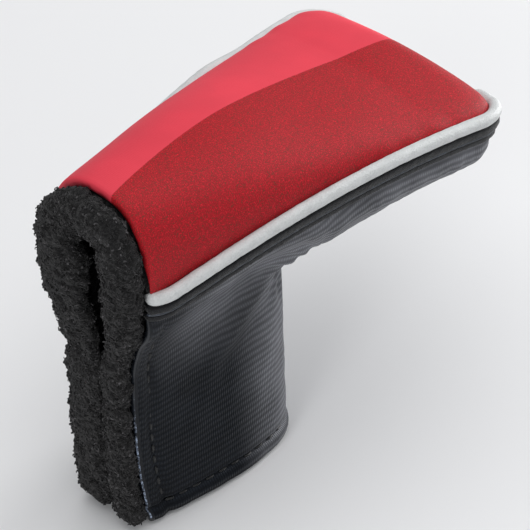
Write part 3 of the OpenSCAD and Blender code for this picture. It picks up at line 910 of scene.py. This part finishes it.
def side_relief(p, crease):
    """The side's padding, sewn edges, soft folds and creases, as a distance outwards."""
    x, z = p[0], p[2]
    over = min(max(x, 0.0), CROWN_LEN)
    drop = seam_z(over) - z
    room = clamp01((depth(over) - 6) / 14) if x > NECK_LEN else 1.0
    puff = room * (0.7 * ease((drop - 7.0) / 4) + 1.7 * hump(drop, 14.5, 5.0))
    band = z + HEM_DROP
    hem = 0.55 * hump(band, 2.4, 2.0) - 1.25 * hump(band, GROOVE_AT, GROOVE_W) if x < FAN_AT[0] else 0.0
    edge_off = x - flap_edge_x(z)
    bead = 0.3 * hump(edge_off, 2.0, 1.6) - 1.2 * hump(edge_off, GROOVE_AT, GROOVE_W)
    flap = bead * ease((-z - 8) / 8)
    to_x, to_z = x - CREASE_AT[0], z - CREASE_AT[1]
    along = to_x * CREASE_WAY[0] + to_z * CREASE_WAY[1]
    across = -to_x * CREASE_WAY[1] + to_z * CREASE_WAY[0]
    fold = 2.0 * hump(across, 0, 4.6) * ease((along + 50) / 18) * (1 - ease((along + 4) / 10))
    valley = -1.5 * hump(across, -10.5, 6.0) * ease((along + 52) / 20) * (1 - ease((along - 2) / 12))
    turn = math.atan2(z - FAN_AT[1], x - FAN_AT[0])
    off = math.hypot(x - FAN_AT[0], z - FAN_AT[1])
    fan = math.sin(turn * FAN_FOLDS + 1.8 * math.sin(off / 6)) * hump(off, 11, 9)
    radial = FAN_DEPTH * fan * clamp01((71 - x) / 6)
    gather = SMALL_DEPTH * folds(x, z, 2.1, 22, 5.0) * ease((x - 52) / 14) * room
    tucks = SMALL_DEPTH * folds(x, z, 26, 3.2, 6.0) * ease((x - 38) / 20) * ease((-z - 34) / 10)
    small = folds(x, z, 9, 13, 2.0) * 0.35 + folds(x, z, 4.2, 5.5, 8.0) * 0.14
    calm = ease((drop - 8) / 6)
    if x > NECK_LEN - 6:
        keel = 1 - ease((drop / max(depth(min(x, CROWN_LEN)), 1.0) - 0.6) / 0.4)
        calm *= lerp(1, keel, ease((x - NECK_LEN + 6) / 5))
    return puff + hem + flap + crease * (calm * (fold + valley + radial + small + tucks + gather))


def side_uv(points):
    """UV places in millimetres that keep the ribs upright on the neck and square along the pocket."""
    x, y, z = points[..., 0], points[..., 1], points[..., 2]
    wide = np.vectorize(neck_w)(z)
    a = x + 0.55 * np.maximum(0, wide - np.abs(y))
    steps = np.linalg.norm(np.diff(points, axis=0), axis=-1)
    first = int(SIDE_COLS * NECK_STATIONS / ALL_STATIONS)
    for i in range(first + 1, len(a)):
        a[i] = a[i - 1] + steps[i - 1]
    rows = np.linalg.norm(np.diff(points, axis=1), axis=-1)
    down = np.concatenate([np.zeros((len(a), 1)), np.cumsum(rows, 1)], 1)
    t = np.clip((STATION - NECK_STATIONS + 2) / 6, 0, 1)[:, None]
    b = lerp(-z, down, t * t * (3 - 2 * t))
    return np.stack([a, b], -1)


NETS = {}


def nets(which):
    if which not in NETS:
        NETS[which] = crown_nets() if which == "crown" else side_nets()
    return NETS[which]


def mirrored(a):
    return a * np.array([1.0, -1.0, 1.0])


def kept(a):
    return a


# The front is sewn as it is worked out and the back is its mirror image
SIDES = (("front", kept), ("back", mirrored))


def bend(obj):
    """Bakes a piece's placement into its mesh."""
    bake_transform(obj)


# How far the turned edges bulge
CROWN_EDGE_R = 0.5
SIDE_EDGE_R = 1.15
LINING_EDGE_R = 0.8


class COVER_OT_crown(bpy.types.Operator):
    """Sew the padded printed crown"""

    bl_idname = "cover.crown"
    bl_label = "Crown"

    def execute(self, context):
        puff = context.scene.cover_sizes.puff / MM
        points, out, share = nets("crown")
        relief = each(lambda p: crown_relief(p, puff), points)
        relief[:, 0] = relief[:, -1] = relief[-1] = 0
        skin = points + out * relief[..., None]
        edge = np.zeros_like(points)
        edge[0] = (-1, 0, 0)
        cloth = [shared("crown_print", print_cloth)]
        obj = cloth_shell("crown", skin, out, share * FLEECE_AT, cloth, edge, CROWN_EDGE_R)
        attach(obj, "shell")
        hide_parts("crown_panel", "crown_foam")
        return {"FINISHED"}


class COVER_OT_sides(bpy.types.Operator):
    """Sew the two padded sides, each with its flap"""

    bl_idname = "cover.sides"
    bl_label = "Sides"

    def execute(self, context):
        crease = context.scene.cover_sizes.crease / MM
        points, out, share, hem = nets("side")
        relief = each(lambda p: side_relief(p, crease), points)
        relief[-1] = relief[:, 0] = 0
        relief[hem:, -1] = 0
        skin = points + out * relief[..., None]
        skin[hem:, -1, 1] = 0
        edge = np.zeros_like(points)
        edge[0, 4:] = (-1, 0, 0)
        edge[: hem + 1, -1] = (0, 0, -1)
        edge[0, -1] = (-0.7, 0, -0.7)
        uv = side_uv(points)
        cloths = [
            shared("side_skin", ribbed_cloth),
            shared("turned_edge", turned_edge),
            shared("painted_edge_highlight", painted_edge_highlight),
        ]
        wall = share * FLEECE_AT
        for side, turn in SIDES:
            sheet = turn(skin), turn(out), wall, cloths, turn(edge), SIDE_EDGE_R
            obj = cloth_shell(side + "_side", *sheet, uv)
            bend(obj)
            nodes = [side + n for n in ("_panel", "_foam", "_flap_panel", "_flap_foam", "_flap_edge")]
            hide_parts(*nodes, "hem_edge")
        return {"FINISHED"}


# ---- Lining and fleece rolls ----
def thinned(a, step_i, step_j):
    """Every few points of a net, its last ones always kept."""
    i = sorted(set(range(0, a.shape[0], step_i)) | {a.shape[0] - 1})
    j = sorted(set(range(0, a.shape[1], step_j)) | {a.shape[1] - 1})
    return a[np.ix_(i, j)]


class COVER_OT_lining(bpy.types.Operator):
    """Line the cover with fleece"""

    bl_idname = "cover.lining"
    bl_label = "Lining"

    def execute(self, context):
        cloth = [shared("fleece", fleece)]
        points, out, share = (thinned(a, 2, 2) for a in nets("crown"))
        self.lay("crown_fleece", points, out, share, cloth, None)
        points, out, share = (thinned(a, 2, 2) for a in nets("side")[:3])
        self.lay("front_fleece", points, out, share, cloth, "front")
        self.lay("back_fleece", mirrored(points), mirrored(out), share, cloth, "back")
        return {"FINISHED"}

    def lay(self, name, points, out, share, cloth, side):
        under = points - out * (share * (FLEECE_AT + 0.05))[..., None]
        wall = share * (WALL_T - FLEECE_AT)
        rough = each(lambda p: 1.1 * nodules(p, 3.2) - 0.5, under) * share
        edge = np.zeros_like(points)
        if side:
            edge[0, 6:] = (-1, 0, 0)
            hem = int(round((points.shape[0] - 1) * HEM_STATIONS / ALL_STATIONS))
            edge[: hem + 1, -1] = (0, 0, -1)
        else:
            edge[0] = (-1, 0, 0)
        relief = out * rough[..., None]
        obj = cloth_shell(name, under, out, wall, cloth, edge, LINING_EDGE_R, inner_relief=relief)
        if side:
            bend(obj)
            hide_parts(side + "_lining", side + "_flap_lining")
        else:
            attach(obj, "shell")
            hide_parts("crown_lining")


# Half thicknesses of the rolls over the mouth and down the flaps, and how far before the middle they meet
TOP_ROLL = 5.8
FRONT_ROLL = 4.3
BACK_ROLL = 6.4
TOP_ROLL_W = 4.4
LOW_ROLL_W = 2.9
MEET_AT = 1.6
MEET_PLAY = 0.15
MEET_BELOW = -14
ROLL_STEPS = 560
ROLL_SIDES = 84
# Height and size of the rolls' coarse and fine nodules
NODULES = ((0.95, 4.3), (0.35, 2.0))
ROLL_OVER = 60
ROLL_DOWN = 90


def roll_line():
    """Middle line of the front fleece roll, from over the mouth down to the hem, and its outward way."""
    line, out = [], []
    for k in range(ROLL_OVER + 1):
        a = math.pi / 2 * (1 - k / ROLL_OVER)
        p = np.array(crown_point(0.0, a))
        past, before = crown_point(0.0, min(a + 0.02, math.pi)), crown_point(0.0, max(a - 0.02, 0.0))
        q = np.array(past) - np.array(before)
        n = unit(np.array([0.0, q[2], -q[1]]))
        line.append(p)
        out.append(n if n[2] >= -1e-6 else -n)
    for k in range(1, ROLL_DOWN + 1):
        z = -(HEM_DROP + 0.5) * k / ROLL_DOWN
        x = flap_edge_x(z)
        line.append(np.array([x, -side_half(x, max(z, -HEM_DROP)), z]))
        out.append(np.array([0.0, -1.0, 0.0]))
    return even_line(np.array(line), np.array(out), ROLL_STEPS)


def even_line(line, out, steps):
    """A line and its directions at even distances."""
    run = np.concatenate([[0], np.cumsum(np.linalg.norm(np.diff(line, axis=0), axis=1))])
    at = np.linspace(0, run[-1], steps + 1)
    line = np.stack([np.interp(at, run, line[:, k]) for k in range(3)], 1)
    out = np.stack([np.interp(at, run, out[:, k]) for k in range(3)], 1)
    return line, unit(out)


class COVER_OT_rolls(bpy.types.Operator):
    """Roll the fleece round the mouth and down the flaps' edges, and tease out its curls"""

    bl_idname = "cover.rolls"
    bl_label = "Fleece rolls"

    def execute(self, context):
        sizes = context.scene.cover_sizes
        relief = sizes.roll_relief / MM
        line, out = roll_line()
        swell = np.array([lumps((0, 0, 0.1 * k), 2.2, 2) for k in range(ROLL_STEPS + 1)])
        ahead = np.tile(np.array([1.0, 0, 0]), (ROLL_STEPS + 1, 1))
        rest = [shared("fleece", fleece)]
        # The back flap's roll is the fuller one, so the two meet in front of the middle
        for side, turn, low_deep, fuller, meet in (
            ("front", kept, FRONT_ROLL, 0.2, -MEET_AT - MEET_PLAY),
            ("back", mirrored, BACK_ROLL, 2.4, MEET_AT - MEET_PLAY),
        ):
            deep = np.array([
                lerp(TOP_ROLL, low_deep, ease((-z - 2) / 18)) + fuller * hump(z, 2, 13) for z in line[:, 2]
            ])
            wide = np.array([lerp(TOP_ROLL_W, LOW_ROLL_W, ease((-z - 2) / 25)) for z in line[:, 2]])
            centre = line - out * (deep + 0.2)[:, None] - (wide + 1.0)[:, None] * np.array([1.0, 0, 0])
            profile = oval(ROLL_STEPS, ROLL_SIDES, 1.0, 1.0, 2.3, (0, 20))
            profile = profile * (1 + 0.08 * swell)[:, None, None] * np.stack([deep, wide], 1)[:, None, :]
            seed = 0.0 if side == "front" else 40.0

            def rough(p, seed=seed):
                p = (p[0] + seed, p[1], p[2])
                heavy = sum(high * nodules(p, size) for high, size in NODULES) + 0.5 * lumps(p, 8.0, 2)
                return relief * (heavy - 0.5) * clamp01(abs(p[1]) / 2 + 0.2)

            rings = rings_round(centre, out, ahead, profile, rough)
            low = rings[..., 2] < MEET_BELOW
            rings[..., 1] = np.where(low, np.minimum(rings[..., 1], meet), rings[..., 1])
            rings[0] = rings[0] * np.array([1, 0, 1]) + np.array([0, 0.02, 0])
            obj = tube(side + "_roll", turn(rings), rest)
            bend(obj)
            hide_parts("heel_rim", side + "_flap_rim")
            tease_curls(side, turn(rings), turn(centre), sizes)
        return {"FINISHED"}


CURL_TURN = 3.6


def curl_shape(size):
    """One curl: a thin cone bent over."""
    bm = bmesh.new()
    bmesh.ops.create_cone(bm, cap_ends=True, segments=3, radius1=0.3, radius2=0.16, depth=size)
    upright = [e for e in bm.edges if abs(e.verts[0].co.z - e.verts[1].co.z) > size / 2]
    bmesh.ops.subdivide_edges(bm, edges=upright, cuts=3)
    bmesh.ops.triangulate(bm, faces=bm.faces[:])
    bm.verts.ensure_lookup_table()
    r = size / CURL_TURN
    for v in bm.verts:
        t = v.co.z / size + 0.5
        off = v.co.x
        v.co.x = r - (r - off) * math.cos(CURL_TURN * t)
        v.co.z = (r - off) * math.sin(CURL_TURN * t)
    return small_shape(bm)


def tease_curls(side, rings, centres, sizes):
    """Thousands of small curls standing off a roll."""
    draw = np.random.default_rng(7 if side == "front" else 8)
    points, faces = curl_shape(sizes.curl_len / MM)
    count = sizes.curls
    i = draw.integers(1, rings.shape[0] - 2, count)
    j = draw.integers(0, rings.shape[1] - 1, count)
    s = draw.random((count, 2))
    a, b = rings[i, j], rings[i + 1, j]
    c = rings[i, j + 1]
    root = a + (b - a) * s[:, :1] + (c - a) * s[:, 1:]
    up = unit(unit(root - centres[i]) + draw.normal(0, 0.7, (count, 3)))
    lean = unit(np.cross(up, draw.normal(0, 1, (count, 3))))
    third = np.cross(up, lean)
    size = draw.uniform(0.5, 1.1, count)
    turned = (
        lean[:, None, :] * points[None, :, 0:1]
        + third[:, None, :] * points[None, :, 1:2]
        + up[:, None, :] * (points[None, :, 2:3] - 0.25)
    ) * size[:, None, None]
    verts = (root[:, None, :] + turned).reshape(-1, 3)
    tris = (faces[None] + (np.arange(count) * len(points))[:, None, None]).reshape(-1, 3)
    obj = repeated(side + "_pile", verts, tris, shared("pile", pile))
    tone = obj.data.attributes.new("tone", "FLOAT", "POINT")
    tone.data.foreach_set("value", np.repeat(draw.random(count) ** 2.2, len(points)).astype(np.float32))
    bend(obj)


# ---- Piping, welt, stitching ----
def seam_route(steps):
    """The seam from the front heel round the toe to the back heel, with its outward ways."""
    front = [crown_point(crown_x(k / 240), 0.0) for k in range(241)]
    toe = [crown_point(CROWN_LEN, math.pi * k / 120) for k in range(1, 120)]
    back = [mirrored(np.array(p)) for p in reversed(front)]
    line = np.array([*front, *toe, *back])
    way = unit(np.gradient(line, axis=0) * np.array([1, 1, 0]))
    out = np.stack([way[:, 1], -way[:, 0], np.zeros(len(way))], 1)
    line, out = even_line(line, out, steps)
    line[:, 2] = evened(line[:, None, :], 40, False)[:, 0, 2]
    return line, unit(evened(out[:, None, :], 3, False)[:, 0])


SEAM_STEPS = 520
# Past this y the seam runs along the back
BACK_FROM = 30
# How far the piping and the felt below it are tucked in and pressed down round the toe
PIPING_IN = 1.25
PIPING_DOWN = 1.4
WELT_IN = 1.5
WELT_DOWN = 1.6
# The heel ends: how long they are, and how far they are drawn in and back
HEEL_END = 7.0
HEEL_END_IN = 3.4
HEEL_END_BACK = 2.2


def lay_strip(name, route, reach, level, profile, rough, cloth):
    """A strip along the seam, a reach out from it and a level above it, with lumps on its surface."""
    line, out = route
    up = np.tile(np.array([0, 0, 1.0]), (len(line), 1))
    place = line + out * reach[:, None] + up * level[:, None]
    rings = rings_round(place, out, up, profile, lambda p: rough[0] * lumps(p, *rough[1:]))
    obj = tube(name, rings, [cloth])
    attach(obj, "shell")
    return obj


class COVER_OT_piping(bpy.types.Operator):
    """Sew in the white piping and the felt welt below it"""

    bl_idname = "cover.piping"
    bl_label = "Piping and welt"

    def execute(self, context):
        r = context.scene.cover_sizes.piping_d / MM / 2
        line, out = seam_route(SEAM_STEPS)
        # Past the near toe corner the crown's padding hangs over the piping and presses it down
        far = np.array([
            ease((x - 127) / 8) * ease((y + 37) / 8) if y < BACK_FROM else ease((x - 78) / 22)
            for x, y, _ in line
        ])
        # The heel ends are drawn in under the fleece roll
        run = np.linspace(0, 1, len(line)) * np.linalg.norm(np.diff(line, axis=0), axis=1).sum()
        end = np.clip(1 - np.minimum(run, run[-1] - run) / HEEL_END, 0, 1)
        line = line - out * (HEEL_END_IN * end**2)[:, None]
        line = line - np.array([1.0, 0, 0]) * (HEEL_END_BACK * end)[:, None]
        route = (line, out)
        body = oval(SEAM_STEPS, 28, r, r * 1.02, 2.15, (3, 3))
        white = shared("piping", piping_cloth)
        reach, level = r + 0.05 - PIPING_IN * far, -PIPING_DOWN * far
        obj = lay_strip("piping", route, reach, level, body, (0.09, 2.6, 3), white)
        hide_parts("piping_cover", "piping_cord")
        for name, reach, half, level, tall in (
            ("welt", 1.8, 1.75, -r - 1.65, 1.45),
            ("under_welt", 1.35, 1.2, -r - 5.25, 1.15),
        ):
            reach, level = reach - WELT_IN * far, level - WELT_DOWN * far
            body = oval(SEAM_STEPS, 24, half, tall, 4.0, (2, 2))
            obj = lay_strip(name, route, reach, level, body, (0.13, 1.0, 3), shared("felt", felt))
            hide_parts("welt_strip")
        # The thin fold between the two felt strips, painted pale as its highlight
        reach, level = 2.45 - WELT_IN * far, -r - 3.6 - WELT_DOWN * far
        body = oval(SEAM_STEPS, 12, 0.5, 0.45, 2.0, (2, 2))
        fold = shared("welt_edge", fold_highlight)
        obj = lay_strip("welt_edge", route, reach, level, body, (0.1, 2.2, 2), fold)
        return {"FINISHED"}


THREAD_R = 0.65
THREAD_UP = 0.15
THREAD_FLAT = 0.8


def stitch_shape(size):
    bm = bmesh.new()
    bmesh.ops.create_uvsphere(bm, u_segments=6, v_segments=5, radius=1.0)
    bmesh.ops.triangulate(bm, faces=bm.faces[:])
    points, faces = small_shape(bm)
    return points * np.array([THREAD_R, THREAD_R, size / 2]), faces


def sew(name, lines, sizes):
    """Stitches along lines of points, each given with its outward ways."""
    size, gap = sizes.stitch_len / MM, sizes.stitch_gap / MM
    points, faces = stitch_shape(size)
    verts, tris = [], []
    for line, out in lines:
        run = np.linalg.norm(np.diff(line, axis=0), axis=1).sum()
        count = max(1, int(run / (size + gap)))
        at, ways = even_line(line, out, count * 2)
        for k in range(1, count * 2, 2):
            along = unit(at[k + 1] - at[k - 1])
            side = unit(np.cross(ways[k], along))
            top = np.cross(along, side)
            where = at[k] + ways[k] * THREAD_UP
            tris.append(faces + len(points) * len(verts))
            thick = points[:, :1] * side + points[:, 1:2] * top * THREAD_FLAT
            verts.append(where + thick + points[:, 2:] * along)
    return repeated(name, np.concatenate(verts), np.concatenate(tris), shared("thread", thread))


class COVER_OT_stitching(bpy.types.Operator):
    """Topstitch the hem and the flaps' edges"""

    bl_idname = "cover.stitching"
    bl_label = "Stitching"

    def execute(self, context):
        sizes = context.scene.cover_sizes
        crease = sizes.crease / MM
        inset = sizes.hem_in / MM

        def on_side(x, z):
            p = np.array([x, -side_half(x, z), z])
            dx = side_half(x + 0.3, z) - side_half(x - 0.3, z)
            n = unit(np.array([-dx / 0.6, -1.0, 0.0]))
            return p + n * (side_relief(p, crease) + 0.2), n

        low = -HEM_DROP + inset
        hem = [on_side(x, low) for x in np.linspace(flap_edge_x(low) + inset, neck_end(low) - 0.6, 90)]
        edge = [on_side(flap_edge_x(z) + inset, z) for z in np.linspace(-14, low + 2.5, 60)]
        lines = [(np.array([p for p, _ in s]), np.array([n for _, n in s])) for s in (hem, edge)]
        for side, turn in SIDES:
            obj = sew(side + "_stitches", [(turn(a), turn(b)) for a, b in lines], sizes)
            bend(obj)
            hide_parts("hem_thread", side + "_flap_thread")
        return {"FINISHED"}


TAPE_ENDS = (76, 116)
TAPE_STEPS = 90
TAPE_HALF_W = 4.0
TAPE_HALF_T = 0.32


class COVER_OT_inside(bpy.types.Operator):
    """Finish what is sewn inside: the seam tape, the pouches and the magnets"""

    bl_idname = "cover.inside"
    bl_label = "Inside"

    def execute(self, context):
        tape = shared("tape", lambda c: woven("tape", c.fleece))
        xs = np.linspace(*TAPE_ENDS, TAPE_STEPS + 1)
        keel = np.array([[x, 0, seam_z(x) - depth(x)] for x in xs])
        way = unit(np.gradient(keel, axis=0))
        up = np.stack([-way[:, 2], np.zeros(len(way)), way[:, 0]], 1)
        share = np.array([lerp(SEAM_SQUEEZE, 1, ease(depth(x) / SQUEEZE_REACH)) for x in xs])
        centre = keel + up * (share * WALL_T + 0.75)[:, None]
        across = np.tile(np.array([0, 1.0, 0]), (len(xs), 1))
        profile = oval(TAPE_STEPS, 24, TAPE_HALF_W, TAPE_HALF_T, 5.0, (1, 1))
        obj = tube("pocket_tape", rings_round(centre, across, up, profile), [tape])
        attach(obj, "shell")
        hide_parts("pocket_seam_tape")
        plate = shared("magnet", steel)
        pouch = shared("pouch", lambda c: woven("pouch", c.fleece))
        for name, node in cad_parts.items():
            if node.hide_render:
                continue
            node.data.materials.clear()
            node.data.materials.append(plate if "magnet" in name else pouch)
        return {"FINISHED"}


FLOOR_HALF = 6
FLOOR_GAP = 0.0022
ROOM_TINT = (0.95, 0.97, 1.0)
ROOM_LIGHT = 0.32
# Each lamp's name, place, width and power, and the place they all point at
LAMPS = (
    ("top", (0.15, 0.0, 1.5), 2.2, 17.2),
    ("heel_side", (-0.8, -0.25, 0.3), 0.35, 2.2),
    ("toe_side", (1.0, -0.12, 0.12), 0.4, 7.0),
)
LAMP_AIM = (0.06, 0, -0.02)
CAMERA_AT = (-0.4531, -0.4675, 0.5840)
CAMERA_LOOK = (0.5547, 0.4966, -0.6677)
CAMERA_RIGHT = (0.6670, -0.7451, 0.0)
CAMERA_LENS = 208.8
CAMERA_SENSOR = 36.0


class COVER_OT_stage(bpy.types.Operator):
    """Set up the floor, the lights and the camera"""

    bl_idname = "cover.stage"
    bl_label = "Stage"

    def execute(self, context):
        scene = context.scene
        shade = scene.cover_colours.floor
        f = Finish("floor", shade, 0.9, Specular_IOR_Level=0.1)
        tone = f.grain(f.add("TexCoord").outputs["Object"], 3.0, 2.0)
        f.paint(tone, tones(shade, (0.3, 0.985), (0.7, 1)))
        bm = bmesh.new()
        bmesh.ops.create_grid(bm, x_segments=8, y_segments=8, size=FLOOR_HALF)
        bmesh.ops.translate(bm, verts=bm.verts[:], vec=(0, 0, -HEM_DROP * MM - FLOOR_GAP))
        finished("floor", bm, [f.material])
        world = bpy.data.worlds.new("studio")
        world.use_nodes = True
        for socket, value in zip(world.node_tree.nodes["Background"].inputs, ((*ROOM_TINT, 1), ROOM_LIGHT)):
            socket.default_value = value
        scene.world = world
        for lamp in LAMPS:
            self.light(*lamp)
        scene.view_settings.view_transform = "Standard"
        cam = bpy.data.cameras.new("camera")
        cam.sensor_width, cam.lens = CAMERA_SENSOR, CAMERA_LENS
        cam.clip_start, cam.clip_end = 0.05, 20
        obj = placed("camera", cam)
        look, right = Vector(CAMERA_LOOK).normalized(), Vector(CAMERA_RIGHT).normalized()
        turn = Matrix((right, right.cross(look), -look)).transposed().to_4x4()
        obj.matrix_world = Matrix.Translation(CAMERA_AT) @ turn
        scene.camera = obj
        return {"FINISHED"}

    def light(self, name, place, size, power):
        data = bpy.data.lights.new(name, "AREA")
        data.shape = "DISK"
        data.size = size
        data.energy = power
        obj = placed(name, data)
        obj.location = place
        obj.rotation_euler = (Vector(LAMP_AIM) - Vector(place)).to_track_quat("-Z", "Y").to_euler()


STEPS = (
    COVER_OT_crown,
    COVER_OT_sides,
    COVER_OT_lining,
    COVER_OT_rolls,
    COVER_OT_piping,
    COVER_OT_stitching,
    COVER_OT_inside,
    COVER_OT_stage,
)


class COVER_PT_panel(bpy.types.Panel):
    """The cover's pieces, sizes and colours"""

    bl_idname = "COVER_PT_panel"
    bl_label = "Putter head cover"
    bl_space_type = "VIEW_3D"
    bl_region_type = "UI"
    bl_category = "Head cover"

    def draw(self, context):
        for step in STEPS:
            self.layout.operator(step.bl_idname)
        for group in (context.scene.cover_sizes, context.scene.cover_colours):
            for name in group.__annotations__:
                self.layout.prop(group, name)


CLASSES = (CoverSizes, CoverColours, *STEPS, COVER_PT_panel)


def register():
    for c in CLASSES:
        bpy.utils.register_class(c)
    bpy.types.Scene.cover_sizes = bpy.props.PointerProperty(type=CoverSizes)
    bpy.types.Scene.cover_colours = bpy.props.PointerProperty(type=CoverColours)


def unregister():
    del bpy.types.Scene.cover_colours
    del bpy.types.Scene.cover_sizes
    for c in reversed(CLASSES):
        bpy.utils.unregister_class(c)


def main():
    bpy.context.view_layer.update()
    register()
    for step in STEPS:
        group, call = step.bl_idname.split(".")
        getattr(getattr(bpy.ops, group), call)()


if __name__ == "__main__":
    main()
